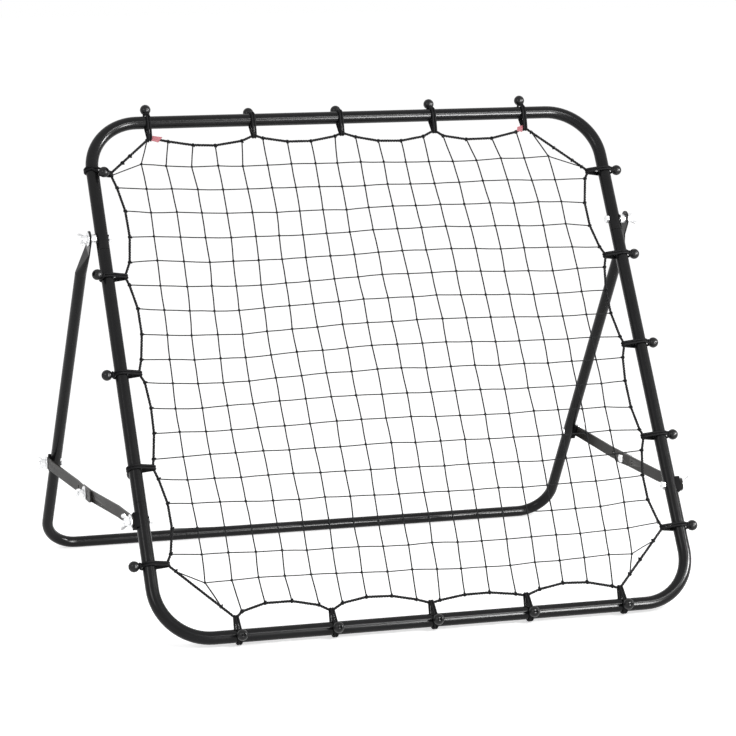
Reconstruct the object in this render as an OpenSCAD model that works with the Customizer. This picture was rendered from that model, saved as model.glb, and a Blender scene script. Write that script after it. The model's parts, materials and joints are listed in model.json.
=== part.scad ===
/* [Front frame] */
// Outer width and outer length of the square net frame
frame_size = 960; // [880:10:1060]
// Diameter of the front tubes
front_tube_d = 22.2; // [20:0.1:25]
// Wall of the front tubes
front_tube_wall = 1.2; // [1:0.1:1.5]
// Bend radius of the front corners, to the tube axis
front_bend_r = 90; // [70:1:110]
// How far the net frame leans back from upright, in degrees
lean = 32; // [26:1:38]
// Length of each leg of the bottom tube, from its axis to the joint with the side tube
bottom_leg_length = 238; // [225:1:260]
// Length of each leg of the top tube, from its axis to the joint with the side tube
top_leg_length = 241; // [225:1:260]
// How far a drawn-down tube end slides into its neighbour
insert_length = 46; // [40:1:60]
// Gap left round a drawn-down tube end
insert_gap = 0.1; // [0.05:0.05:0.2]
// Chamfer round the full width of a straight tube, where it meets a bent tube
joint_chamfer = 0.6; // [0.3:0.1:0.8]

/* [Rear frame] */
// Distance along the floor from the front tube axis to the rear tube axis
foot_spacing = 777; // [700:1:820]
// Diameter of the rear tubes
rear_tube_d = 20; // [18:0.5:22]
// Wall of the rear tubes
rear_tube_wall = 1.2; // [1:0.1:1.5]
// Bend radius of the rear corners, to the tube axis
rear_bend_r = 60; // [45:1:80]
// Sideways gap between a front tube and a rear leg
leg_gap = 7.9; // [7.5:0.1:12]
// Length of the straight tube that joins the two rear legs, as seen
rear_cross_length = 458; // [300:1:600]
// Thickness of the pressed flat top of a rear leg
flat_t = 2.6; // [2.4:0.1:3.2]
// Width of the pressed flat top of a rear leg
flat_w = 28; // [26:0.5:30]
// How far the pressed flat top reaches below the pivot bolt
flat_reach = 25; // [22:1:35]
// Length of the tapering part between the flat top and the round leg
flat_taper = 50; // [40:1:70]

/* [Pivots] */
// How far the fold pivot lies above the joint of the top tube and the side tube
pivot_above_joint = 23; // [18:1:28]
// How far the front stay bolt lies below the joint of the bottom tube and the side tube
stay_below_joint = 29; // [24:1:32]
// Length of the spacer between the front tube and the flat top of the rear leg
spacer_length = 9.3; // [9:0.1:12]
// Outer diameter of the spacer
spacer_d = 16; // [14:0.5:20]
// Diameter of the bolts
bolt_d = 8; // [6:0.5:8]
// Radial gap between a bolt and each hole that it passes through
bolt_gap = 0.08; // [0.05:0.01:0.1]
// Width across the flats of the bolt heads
head_af = 13; // [11:0.5:14]
// Thickness of the bolt heads
head_t = 5.3; // [4:0.1:6]
// Diameter of the big washers
washer_d = 24; // [20:0.5:26]
// Thickness of the washers
washer_t = 2; // [1.5:0.1:2.5]
// Gap between neighbouring faces of a clamped stack
face_gap = 0.2; // [0.1:0.05:0.3]

/* [Wing nuts] */
// Tip to tip span of the wings
wing_span = 32; // [28:1:34]
// Height of a wing nut along the bolt
wing_h = 15; // [12:0.5:18]
// Thickness of the wings
wing_t = 2.4; // [2:0.1:3]
// Diameter of the boss at its seat
boss_d = 14; // [12:0.5:15]
// Height of the boss
boss_h = 9; // [8:0.5:10]
// How much narrower the boss is at its top
boss_taper = 3; // [1:0.5:4]
// Radius of the round wing tips
wing_tip_r = 4; // [3.5:0.1:4.5]
// How far a bolt stands out of the boss
bolt_proud = 3; // [1:0.5:5]

/* [Stays] */
// Width of the flat stays
stay_w = 20; // [18:0.5:22]
// Thickness of the flat stays
stay_t = 3; // [2.5:0.1:3.5]
// Distance from the rear end bolt to the elbow bolt
rear_stay_span = 269; // [262:1:276]
// How far the rear stay bolt lies up the leg from the axis of the floor tube
rear_stay_up = 210; // [200:1:220]
// How far the elbow bolt lies below the line between the two end bolts
elbow_drop = 5.5; // [5:0.5:12]
// How far the front stay reaches past the elbow bolt
front_stay_tail = 38; // [30:1:45]
// How far the rear stay reaches past the elbow bolt
rear_stay_tail = 42; // [30:1:50]
// Distance from the elbow bolt to the spare hole of each stay
hole_pitch = 50; // [30:1:60]
// Sideways step of the front stay, from its end to its middle
front_step = 11.7; // [11.2:0.1:13]
// Sideways gap between the outside of a rear leg and its stay
rear_saddle_t = 3.2; // [3:0.1:5]
// Sideways gap between the outside of a front tube and its stay
front_saddle_t = 5; // [4.5:0.1:6]
// Length of the saddle blocks along the tube
saddle_h = 25; // [22:1:30]
// Width of the saddle blocks across the tube
saddle_w = 18; // [16:0.5:19]
// Distance from the front end bolt to the start of the front stay's sideways step
front_step_start = 95; // [60:1:100]
// Distance from the rear end bolt to the start of the rear stay's sideways step
rear_step_start = 20; // [15:1:40]
// Length over which the front stay makes its sideways step
front_step_length = 160; // [100:1:165]
// Length over which the rear stay makes its sideways step
rear_step_length = 190; // [120:1:200]

/* [Net and rope] */
// Meshes along each side of the net
meshes = 17; // [15:1:17]
// Thickness of the net strands
strand = 3; // [2:0.5:3]
// Diameter of the border rope
rope_d = 4.6; // [4:0.1:6]
// Distance from a tube axis to the border rope at a bungee
rope_reach = 30; // [29:1:40]
// How far the rope bows inwards between two bungees
rope_bow = 17; // [8:1:24]
// How sharply the rope is drawn out at a bungee, where 2 is a plain bow
rope_point = 5; // [2:1:6]
// Rope pieces between two bungees
rope_steps = 7; // [5:1:8]
// Gap between the end of a strand and the rope
strand_gap = 0.3; // [0.2:0.1:0.5]
// Width of the red marker tags
tag_w = 17; // [12:1:20]
// Height of the red marker tags
tag_h = 12; // [8:1:14]
// Thickness of the red marker tags
tag_t = 1; // [0.8:0.1:1.5]
// Sideways gap between a marker tag and the bungee beside it
tag_gap = 2; // [1:0.5:6]

/* [Bungees] */
// Distance along each side from the corner of the tube axes to the first and the last bungee
corner_inset = 130.9; // [125:0.1:150]
// Diameter of the elastic cord
cord_d = 4; // [3:0.1:5]
// Diameter of the balls
ball_d = 18.5; // [16:0.5:20]
// Gap between the cord and what it goes round
cord_gap = 0.2; // [0.1:0.05:0.3]
// How far each loop has slid along the top tube
top_slip = [-22, -3, -11, -7, -4]; // [-30:1:30]
// How far each loop has slid along the bottom tube
bottom_slip = [1, -5, -1, -1, 0]; // [-30:1:30]
// How far each loop has slid up the left tube
left_slip = [0, 0, 0, 9, 34]; // [-30:1:40]
// How far each loop has slid up the right tube
right_slip = [2, 2, 8, 12, 10]; // [-30:1:30]
// How far each top ball has turned to the front, in degrees from straight outwards
top_turn = [0, -33, -33, -10, 0]; // [-150:1:150]
// How far each left ball has turned to the front, in degrees from straight outwards
left_turn = [0, -90, 0, 35, 125]; // [-150:1:150]
// How far each right ball has turned to the front, in degrees from straight outwards
right_turn = [0, 0, 0, 0, 0]; // [-150:1:150]

/* [Hidden] */
$fn = 48;
e = 0.01;
paint = [0.13, 0.13, 0.14];
zinc = [0.85, 0.86, 0.88];
front_r = front_tube_d / 2;
rear_r = rear_tube_d / 2;
axis_size = frame_size - front_tube_d;
half = axis_size / 2;
leg_x = half + front_r + leg_gap + rear_r;
// the loops under the bottom tube lift it off the floor by one cord
front_z = front_r + cord_d + 2 * cord_gap;
loop_r = front_r + cord_gap + cord_d / 2;
ball_reach = loop_r + cord_d / 2 + cord_gap + ball_d / 2;
// a ball in front of the bottom tube rests on the floor
bottom_ball_turn = acos((front_z - ball_d / 2) / ball_reach);
front_most = ball_reach * sin(bottom_ball_turn) + ball_d / 2;
front_y = (front_most - foot_spacing - rear_r) / 2;
// pivots, as [y, z] points
function on_lean(s) = [front_y + s * sin(lean), front_z + s * cos(lean)];
top_joint_s = axis_size - top_leg_length;
pivot_s = top_joint_s + pivot_above_joint;
stay_s = bottom_leg_length - stay_below_joint;
pivot = on_lean(pivot_s);
front_bolt = on_lean(stay_s);
rear_foot = [front_y + foot_spacing, rear_r];
leg_length = norm(pivot - rear_foot);
rear_lean = atan2(rear_foot[0] - pivot[0], pivot[1] - rear_foot[1]);
rear_bolt = rear_foot + rear_stay_up * [-sin(rear_lean), cos(rear_lean)];
stay_line = norm(rear_bolt - front_bolt);
stay_dir = (front_bolt - rear_bolt) / stay_line;
rear_along = sqrt(pow(rear_stay_span, 2) - pow(elbow_drop, 2));
elbow = rear_bolt + rear_along * stay_dir + elbow_drop * [-stay_dir[1], stay_dir[0]];
front_stay_span = norm(elbow - front_bolt);
front_stay_tilt = atan2(elbow[1] - front_bolt[1], elbow[0] - front_bolt[0]);
rear_stay_tilt = atan2(elbow[1] - rear_bolt[1], elbow[0] - rear_bolt[0]);
// sideways places, measured from the middle of the frame
tube_out = half + front_r;
flat_x = tube_out + 2 * face_gap + spacer_length;
front_stay_x = tube_out + front_saddle_t + face_gap;
mid_x = front_stay_x + front_step;
elbow_x = mid_x + stay_t + face_gap;
rear_stay_x = leg_x + rear_r + rear_saddle_t + face_gap;
rear_step = rear_stay_x - elbow_x;
hole_d = bolt_d + 2 * bolt_gap;

// -- frames of reference --
module mirrored(side) {
    if (side > 0)
        children();
    else
        mirror([1, 0, 0])
            children();
}

// X across, Z up along the leaning net frame, Y out of its back
module on_front() {
    translate([0, front_y, front_z])
        rotate([-lean, 0, 0])
            children();
}

// Z points from the rear foot to the pivot, which is the origin
module on_rear() {
    translate([0, pivot[0], pivot[1]])
        rotate([rear_lean, 0, 0])
            children();
}

// X runs out along a bolt, from the middle plane of the object
module at_point(p, tilt = 0) {
    translate([0, p[0], p[1]])
        rotate([tilt, 0, 0])
            children();
}

module rod_x(d, x0, x1) {
    translate([x0, 0, 0])
        rotate([0, 90, 0])
            cylinder(d = d, h = x1 - x0);
}

// -- tubes --
// Two legs down from two rounded corners and a straight between them, in the XZ plane
module u_path(d, leg) {
    for (side = [-1, 1])
        mirrored(side) {
            translate([half, 0, -front_bend_r])
                mirror([0, 0, 1])
                    cylinder(d = d, h = leg - front_bend_r);
            translate([half - front_bend_r, 0, -front_bend_r])
                rotate([90, 0, 0])
                    rotate_extrude(angle = 90)
                        translate([front_bend_r, 0])
                            circle(d = d);
            translate([half - front_bend_r, 0, 0])
                rotate([0, -90, 0])
                    cylinder(d = d, h = half - front_bend_r);
        }
}

module u_tube(leg, hole_up) {
    difference() {
        u_path(front_tube_d, leg);
        u_path(front_tube_d - 2 * front_tube_wall, leg + e);
        for (s = [-1, 1])
            translate([s * half, 0, hole_up - leg])
                rod_x(hole_d, -front_tube_d, front_tube_d);
    }
}

module front_top_tube() {
    color(paint)
        on_front()
            translate([0, 0, axis_size])
                u_tube(top_leg_length, pivot_above_joint);
}

module front_bottom_tube() {
    color(paint)
        on_front()
            mirror([0, 0, 1])
                u_tube(bottom_leg_length, stay_below_joint);
}

// A round bar along Z with both ends chamfered
module chamfered(d, z0, z1) {
    c = joint_chamfer;
    translate([0, 0, z0])
        cylinder(d1 = d - 2 * c, d2 = d, h = c);
    translate([0, 0, z0 + c])
        cylinder(d = d, h = z1 - z0 - 2 * c);
    translate([0, 0, z1 - c])
        cylinder(d1 = d, d2 = d - 2 * c, h = c);
}

// A straight tube with both ends drawn down to slide into the bent tubes
module side_tube() {
    bore = front_tube_d - 2 * front_tube_wall;
    neck = bore - 2 * insert_gap;
    lower = bottom_leg_length;
    upper = top_joint_s;
    difference() {
        union() {
            chamfered(front_tube_d, lower, upper);
            translate([0, 0, lower - insert_length])
                cylinder(d = neck, h = upper - lower + 2 * insert_length);
        }
        translate([0, 0, lower - insert_length - e])
            cylinder(d = neck - 2 * front_tube_wall, h = upper - lower + 2 * insert_length + 2 * e);
        for (z = [stay_s, pivot_s])
            translate([0, 0, z])
                rod_x(hole_d, -front_tube_d, front_tube_d);
    }
}

module front_side_tube(side) {
    color(paint)
        on_front()
            translate([side * half, 0, 0])
                side_tube();
}

// A rear leg hangs from its flat top, bends at the floor and ends at the joint of the cross tube
module rear_leg_outline(d, top, over) {
    straight = leg_length - flat_reach - flat_taper - rear_bend_r;
    translate([leg_x, 0, rear_bend_r - leg_length])
        cylinder(d = d, h = straight + top);
    translate([leg_x - rear_bend_r, 0, rear_bend_r - leg_length])
        rotate([90, 0, 0])
            rotate_extrude(angle = -90)
                translate([rear_bend_r, 0])
                    circle(d = d);
    translate([leg_x - rear_bend_r, 0, -leg_length])
        rotate([0, -90, 0])
            cylinder(d = d, h = leg_x - rear_bend_r - rear_cross_length / 2 + over);
}

module flat_top() {
    rotate([0, 90, 0])
        translate([0, 0, flat_x])
            cylinder(d = flat_w, h = flat_t);
    translate([flat_x, -flat_w / 2, -flat_reach])
        cube([flat_t, flat_w, flat_reach]);
}

module leg_taper() {
    hull() {
        translate([flat_x, -flat_w / 2, -flat_reach])
            cube([flat_t, flat_w, e]);
        translate([leg_x, 0, -flat_reach - flat_taper])
            cylinder(d = rear_tube_d, h = e, $fn = 36);
    }
}

module rear_leg(side) {
    bore = rear_tube_d - 2 * rear_tube_wall;
    color(paint)
        on_rear()
            mirrored(side)
                difference() {
                    union() {
                        rear_leg_outline(rear_tube_d, e, 0);
                        flat_top();
                        leg_taper();
                    }
                    rear_leg_outline(bore, -1, 1);
                    rod_x(hole_d, flat_x - 1, flat_x + flat_t + 1);
                    translate([0, 0, rear_stay_up - leg_length])
                        rod_x(hole_d, leg_x - rear_tube_d, leg_x + rear_tube_d);
                }
}

module rear_cross_tube() {
    bore = rear_tube_d - 2 * rear_tube_wall;
    neck = bore - 2 * insert_gap;
    long = rear_cross_length / 2 + insert_length;
    color(paint)
        on_rear()
            translate([0, 0, -leg_length])
                difference() {
                    union() {
                        rotate([0, 90, 0])
                            chamfered(rear_tube_d, -rear_cross_length / 2, rear_cross_length / 2);
                        rod_x(neck, -long, long);
                    }
                    rod_x(neck - 2 * rear_tube_wall, -long - e, long + e);
                }
}

// -- fastenings, each drawn outwards along +X --
module bolt(head_x, end_x) {
    rod_x(bolt_d, head_x - e, end_x);
    translate([head_x - head_t, 0, 0])
        rotate([0, 90, 0])
            cylinder(d = head_af / cos(30), h = head_t, $fn = 6);
}

module washer(x) {
    difference() {
        rod_x(washer_d, x, x + washer_t);
        rod_x(hole_d, x - 1, x + washer_t + 1);
    }
}

// One wing, in profile from the boss to its round tip
module wing_profile() {
    tip = [wing_span / 2 - wing_tip_r, wing_h - wing_tip_r];
    polygon([[bolt_d / 2 + 1, 1.5], [boss_d / 2, 1.5], [tip[0] + wing_tip_r * 0.9, tip[1] - 1.6],
        [tip[0] - wing_tip_r * 0.9, tip[1] + 1.6], [bolt_d / 2 + 1, boss_h - 1]]);
    translate(tip)
        circle(r = wing_tip_r);
}

module wing_nut(x) {
    translate([x, 0, 0])
        rotate([0, 90, 0])
            difference() {
                union() {
                    cylinder(d1 = boss_d, d2 = boss_d - boss_taper, h = boss_h);
                    for (a = [0, 180])
                        rotate([0, 0, a])
                            translate([0, wing_t / 2, 0])
                                rotate([90, 0, 0])
                                    linear_extrude(wing_t)
                                        wing_profile();
                }
                translate([0, 0, -1])
                    cylinder(d = hole_d, h = wing_h + 2);
            }
}

// A block with a hollow that fits the round of a tube whose axis is at x
module saddle(x, r, t) {
    difference() {
        translate([x + r * 0.55, -saddle_w / 2, -saddle_h / 2])
            cube([r * 0.45 + t, saddle_w, saddle_h]);
        translate([x, 0, -saddle_h])
            cylinder(r = r + 0.1, h = 2 * saddle_h);
        rod_x(hole_d, x, x + r + t + 1);
    }
}

pivot_washer_x = flat_x + flat_t + face_gap;
pivot_nut_x = pivot_washer_x + washer_t + face_gap;
front_washer_x = front_stay_x + stay_t + face_gap;
front_nut_x = front_washer_x + washer_t + face_gap;
rear_washer_x = rear_stay_x + stay_t + face_gap;
rear_nut_x = rear_washer_x + washer_t + face_gap;
elbow_washer_x = elbow_x + stay_t + face_gap;
elbow_nut_x = elbow_washer_x + washer_t + face_gap;

module pivot_bolt(side) {
    color(zinc)
        mirrored(side)
            at_point(pivot)
                bolt(half - front_r, pivot_nut_x + boss_h + bolt_proud);
}

module pivot_spacer(side) {
    x = tube_out + face_gap;
    color(zinc)
        mirrored(side)
            at_point(pivot)
                difference() {
                    rod_x(spacer_d, x, x + spacer_length);
                    rod_x(hole_d, x - 1, x + spacer_length + 1);
                }
}

module pivot_washer(side) {
    color(zinc)
        mirrored(side)
            at_point(pivot)
                washer(pivot_washer_x);
}

module pivot_wing_nut(side) {
    color(zinc)
        mirrored(side)
            at_point(pivot, -60)
                wing_nut(pivot_nut_x);
}

// -- stays: flat bars with one long sideways step --
// Length runs along Y, from the end bolt at the origin
module stay_bar(x, step, start, reach, far, holes) {
    difference() {
        union() {
            rod_x(stay_w, x, x + stay_t);
            translate([x, 0, -stay_w / 2])
                cube([stay_t, start, stay_w]);
            translate([0, 0, -stay_w / 2])
                linear_extrude(stay_w)
                    polygon([[x, start - e], [x + stay_t, start - e], [x + stay_t, start],
                        [far + stay_t, start + step], [far + stay_t, start + step + e],
                        [far, start + step + e], [far, start + step], [x, start]]);
            translate([far, start + step, -stay_w / 2])
                cube([stay_t, reach - stay_w / 2 - start - step, stay_w]);
            translate([0, reach - stay_w / 2, 0])
                rod_x(stay_w, far, far + stay_t);
        }
        rod_x(hole_d, x - 1, x + stay_t + 1);
        for (y = holes)
            translate([0, y, 0])
                rod_x(hole_d, min(x, far) - 1, max(x, far) + stay_t + 1);
    }
}

module front_stay(side) {
    color(paint)
        mirrored(side)
            at_point(front_bolt, front_stay_tilt)
                stay_bar(front_stay_x, front_step_length, front_step_start, front_stay_span + front_stay_tail, mid_x,
                    [front_stay_span - hole_pitch, front_stay_span]);
}

module rear_stay(side) {
    color(paint)
        mirrored(side)
            at_point(rear_bolt, rear_stay_tilt)
                stay_bar(rear_stay_x, rear_step_length, rear_step_start, rear_stay_span + rear_stay_tail, elbow_x,
                    [rear_stay_span - hole_pitch, rear_stay_span]);
}

module front_stay_bolt(side) {
    color(zinc)
        mirrored(side)
            at_point(front_bolt)
                bolt(half - front_r, front_nut_x + boss_h + bolt_proud);
}

module front_stay_saddle(side) {
    color(paint)
        mirrored(side)
            at_point(front_bolt, -lean)
                saddle(half, front_r, front_saddle_t);
}

module front_stay_washer(side) {
    color(zinc)
        mirrored(side)
            at_point(front_bolt)
                washer(front_washer_x);
}

module front_stay_wing_nut(side) {
    color(zinc)
        mirrored(side)
            at_point(front_bolt, 20)
                wing_nut(front_nut_x);
}

module rear_stay_bolt(side) {
    color(zinc)
        mirrored(side)
            at_point(rear_bolt)
                bolt(leg_x - rear_r, rear_nut_x + boss_h + bolt_proud);
}

module rear_stay_saddle(side) {
    color(paint)
        mirrored(side)
            at_point(rear_bolt, rear_lean)
                saddle(leg_x, rear_r, rear_saddle_t);
}

module rear_stay_washer(side) {
    color(zinc)
        mirrored(side)
            at_point(rear_bolt)
                washer(rear_washer_x);
}

module rear_stay_wing_nut(side) {
    color(zinc)
        mirrored(side)
            at_point(rear_bolt, 5)
                wing_nut(rear_nut_x);
}

// The elbow bolt is open between the two stays, so each half stays with its own bar
module elbow_bolt_head(side) {
    color(zinc)
        mirrored(side)
            at_point(elbow)
                bolt(mid_x, mid_x + stay_t);
}

module elbow_bolt_end(side) {
    color(zinc)
        mirrored(side)
            at_point(elbow)
                rod_x(bolt_d, elbow_x, elbow_nut_x + boss_h + bolt_proud);
}

module elbow_washer(side) {
    color(zinc)
        mirrored(side)
            at_point(elbow)
                washer(elbow_washer_x);
}

module elbow_wing_nut(side) {
    color(zinc)
        mirrored(side)
            at_point(elbow, 50)
                wing_nut(elbow_nut_x);
}

// -- net, rope and bungees, on the leaning frame --
centre = axis_size / 2;
bungees = len(top_slip);
bungee_pitch = (axis_size - 2 * corner_inset) / (bungees - 1);
function place(k) = (k - (bungees - 1) / 2) * bungee_pitch;
flat_rope = cord_d + 1;
reach = half - rope_reach;

// How far in the rope lies between two anchors, at a share of the way
function bow(t) = rope_bow * (1 - pow(abs(1 - 2 * t), rope_point));

// Anchors of one side, as distances along it; the rope is level for a short way at each
function side_points(slips) = [
    for (k = [0 : bungees - 1])
        let (c = place(k) + slips[k], n = place(min(k + 1, bungees - 1)) + slips[min(k + 1, bungees - 1)])
            each concat([[c - flat_rope, 0]], k == bungees - 1 ? [[c + flat_rope, 0]] :
                [for (m = [0 : rope_steps - 1])
                    let (t = m / rope_steps)
                        [c + flat_rope + t * (n - c - 2 * flat_rope), bow(t)]])
];
function reversed(list) = [for (k = [len(list) - 1 : -1 : 0]) list[k]];
bottom_points = side_points(bottom_slip);
top_points = side_points(top_slip);
left_points = side_points(left_slip);
right_points = side_points(right_slip);
// The closed route of the rope, in the plane of the net, anticlockwise from the bottom left
rope_route = concat(
    [for (p = bottom_points) [p[0], centre - reach + p[1]]],
    [for (p = right_points) [reach - p[1], centre + p[0]]],
    [for (p = reversed(top_points)) [p[0], centre + reach - p[1]]],
    [for (p = reversed(left_points)) [p[1] - reach, centre + p[0]]]
);

// A closed planar tube of six sides
module rope_tube(route, d) {
    n = len(route);
    sides = 6;
    rings = [
        for (k = [0 : n - 1])
            let (a = route[k], b = route[(k + 1) % n], c = route[(k + n - 1) % n],
                in_dir = (a - c) / norm(a - c), out_dir = (b - a) / norm(b - a),
                mid = (in_dir + out_dir) / norm(in_dir + out_dir),
                stretch = 1 / (mid * out_dir), side_dir = [mid[1], -mid[0]])
                for (m = [0 : sides - 1])
                    let (q = 360 * m / sides, w = d / 2 * cos(q) * stretch)
                        [a[0] + side_dir[0] * w, d / 2 * sin(q), a[1] + side_dir[1] * w]
    ];
    faces = [
        for (k = [0 : n - 1], m = [0 : sides - 1])
            let (a = k * sides + m, b = k * sides + (m + 1) % sides,
                c = ((k + 1) % n) * sides + m, f = ((k + 1) % n) * sides + (m + 1) % sides)
                each [[a, c, b], [b, c, f]]
    ];
    polyhedron(rings, faces);
}

module net_border_rope() {
    color([0.1, 0.1, 0.1])
        on_front()
            rope_tube(rope_route, rope_d);
}

// A strand that runs at a loop stops short of it
function at_loop(slips, v) =
    min([for (k = [0 : bungees - 1]) abs(place(k) + slips[k] - v)]) < cord_d + strand / 2 + 2 * strand_gap;

// Where the rope crosses a strand: the route is searched for the span that holds the coordinate
function crossing(route, slips, axis, v, far) = let (
    n = len(route), o = 1 - axis,
    hits = [
        for (k = [0 : n - 1])
            let (a = route[k], b = route[(k + 1) % n], lo = min(a[axis], b[axis]), hi = max(a[axis], b[axis]))
                if (lo <= v && v < hi)
                    let (slope = (b[o] - a[o]) / (b[axis] - a[axis]))
                        [a[o] + slope * (v - a[axis]), abs(slope)]
    ],
    best = far ? max([for (h = hits) h[0]]) : min([for (h = hits) h[0]]),
    hit = [for (h = hits) if (h[0] == best) h][0],
    round_rope = rope_d / 2 + strand_gap + (at_loop(slips, axis == 0 ? v : v - centre) ? cord_gap + cord_d : 0),
    clear = round_rope * sqrt(1 + hit[1] * hit[1]) + strand / 2 * hit[1]
) far ? best - clear : best + clear;

mesh_pitch = 2 * reach / meshes;
module net_outline() {
    for (k = [1 : meshes - 1]) {
        v = k * mesh_pitch - reach;
        s0 = crossing(rope_route, bottom_slip, 0, v, false);
        s1 = crossing(rope_route, top_slip, 0, v, true);
        translate([v - strand / 2, s0])
            square([strand, s1 - s0]);
        u0 = crossing(rope_route, left_slip, 1, v + centre, false);
        u1 = crossing(rope_route, right_slip, 1, v + centre, true);
        translate([u0, v + centre - strand / 2])
            square([u1 - u0, strand]);
    }
}

module net() {
    color([0.16, 0.16, 0.16])
        on_front()
            translate([0, strand / 2, 0])
                rotate([90, 0, 0])
                    linear_extrude(strand)
                        net_outline();
}

module net_tag(side) {
    slip = side > 0 ? top_slip[bungees - 1] : top_slip[0];
    edge = place(side > 0 ? bungees - 1 : 0) + slip - side * (flat_rope + tag_w / 2 + tag_gap);
    color([0.85, 0.2, 0.2])
        on_front()
            translate([edge - tag_w / 2, -rope_d / 2 - 0.3 - tag_t, centre + reach - rope_d / 2 - tag_h])
                cube([tag_w, tag_t, tag_h]);
}

// Where the straight strands leave the round of the loop, as an angle from the rope
rope_turn = rope_d / 2 + cord_gap + cord_d / 2;
strand_inset = 0.04;
strand_turn = acos((loop_r - rope_turn) / rope_reach);

// An elastic loop round a tube and the rope: tube at the origin, rope at [rope_reach, 0]
module elastic_loop() {
    a = strand_turn;
    run = rope_reach * sin(a);
    rotate([0, 0, a])
        rotate_extrude(angle = 360 - 2 * a)
            translate([loop_r, 0])
                circle(d = cord_d);
    translate([rope_reach, 0, 0])
        rotate([0, 0, -a])
            rotate_extrude(angle = 2 * a)
                translate([rope_turn, 0])
                    circle(d = cord_d);
    for (s = [-1, 1])
        rotate([0, 0, s * a])
            translate([loop_r, -s * run / 2, 0])
                rotate([90, 0, 0])
                    cylinder(d = cord_d - strand_inset, h = run + strand_inset * 8, center = true);
}

module bungee_cord() {
    for (s = [-1, 1])
        translate([0, 0, s * (cord_d / 2 + 0.1)])
            elastic_loop();
}

// Places a cord or a ball at each bungee of one side
module along_x(slips, s) {
    for (k = [0 : bungees - 1])
        translate([place(k) + slips[k], 0, s]) {
            $k = k;
            children();
        }
}

module along_s(slips, u) {
    for (k = [0 : bungees - 1])
        translate([u, 0, centre + place(k) + slips[k]]) {
            $k = k;
            children();
        }
}

// A ball that is turned far round sits against a straight strand, so it stands a little further out
function ball_far(turn) = ball_reach / (abs(turn) > 180 - strand_turn ? cos(abs(turn) - 180 + strand_turn) : 1);

module bungee_cords_top() {
    color([0.08, 0.08, 0.08])
        on_front()
            along_x(top_slip, axis_size)
                rotate([0, 90, 0])
                    bungee_cord();
}

module bungee_cords_bottom() {
    color([0.08, 0.08, 0.08])
        on_front()
            along_x(bottom_slip, 0)
                rotate([0, -90, 0])
                    bungee_cord();
}

module bungee_cords_side(slips, side) {
    color([0.08, 0.08, 0.08])
        on_front()
            along_s(slips, side * half)
                rotate([0, 0, side > 0 ? 180 : 0])
                    bungee_cord();
}

module ball() {
    color([0.08, 0.08, 0.08])
        sphere(d = ball_d);
}

module bungee_balls_top() {
    on_front()
        along_x(top_slip, axis_size)
            rotate([top_turn[$k], 0, 0])
                translate([0, 0, ball_far(top_turn[$k])])
                    ball();
}

module bungee_balls_bottom() {
    translate([0, front_y, front_z])
        along_x(bottom_slip, 0)
            rotate([-bottom_ball_turn, 0, 0])
                translate([0, 0, -ball_reach])
                    ball();
}

module bungee_balls_side(slips, turns, side) {
    on_front()
        along_s(slips, side * half)
            rotate([0, 0, -side * turns[$k]])
                translate([side * ball_far(turns[$k]), 0, 0])
                    ball();
}

front_top_tube();
front_bottom_tube();
front_side_tube(-1);  // front_side_tube_left
front_side_tube(1);  // front_side_tube_right
net();
net_border_rope();
net_tag(-1);  // net_tag_left
net_tag(1);  // net_tag_right
bungee_cords_top();
bungee_cords_bottom();
bungee_cords_side(left_slip, -1);  // bungee_cords_left
bungee_cords_side(right_slip, 1);  // bungee_cords_right
bungee_balls_top();
bungee_balls_bottom();
bungee_balls_side(left_slip, left_turn, -1);  // bungee_balls_left
bungee_balls_side(right_slip, right_turn, 1);  // bungee_balls_right
rear_leg(-1);  // rear_leg_left
rear_leg(1);  // rear_leg_right
rear_cross_tube();
pivot_bolt(-1);  // pivot_bolt_left
pivot_bolt(1);  // pivot_bolt_right
pivot_spacer(-1);  // pivot_spacer_left
pivot_spacer(1);  // pivot_spacer_right
pivot_washer(-1);  // pivot_washer_left
pivot_washer(1);  // pivot_washer_right
pivot_wing_nut(-1);  // pivot_wing_nut_left
pivot_wing_nut(1);  // pivot_wing_nut_right
front_stay(-1);  // front_stay_left
front_stay(1);  // front_stay_right
rear_stay(-1);  // rear_stay_left
rear_stay(1);  // rear_stay_right
front_stay_bolt(-1);  // front_stay_bolt_left
front_stay_bolt(1);  // front_stay_bolt_right
front_stay_saddle(-1);  // front_stay_saddle_left
front_stay_saddle(1);  // front_stay_saddle_right
front_stay_washer(-1);  // front_stay_washer_left
front_stay_washer(1);  // front_stay_washer_right
front_stay_wing_nut(-1);  // front_stay_wing_nut_left
front_stay_wing_nut(1);  // front_stay_wing_nut_right
rear_stay_bolt(-1);  // rear_stay_bolt_left
rear_stay_bolt(1);  // rear_stay_bolt_right
rear_stay_saddle(-1);  // rear_stay_saddle_left
rear_stay_saddle(1);  // rear_stay_saddle_right
rear_stay_washer(-1);  // rear_stay_washer_left
rear_stay_washer(1);  // rear_stay_washer_right
rear_stay_wing_nut(-1);  // rear_stay_wing_nut_left
rear_stay_wing_nut(1);  // rear_stay_wing_nut_right
elbow_bolt_head(-1);  // elbow_bolt_head_left
elbow_bolt_head(1);  // elbow_bolt_head_right
elbow_bolt_end(-1);  // elbow_bolt_end_left
elbow_bolt_end(1);  // elbow_bolt_end_right
elbow_washer(-1);  // elbow_washer_left
elbow_washer(1);  // elbow_washer_right
elbow_wing_nut(-1);  // elbow_wing_nut_left
elbow_wing_nut(1);  // elbow_wing_nut_right
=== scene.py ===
"""Looks of a folding rebounder: coated tubes, a knotted net on its rope, ball bungees and folding stays."""
import json
import math
import random

import bmesh
import bpy
from mathutils import Matrix, Vector


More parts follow.
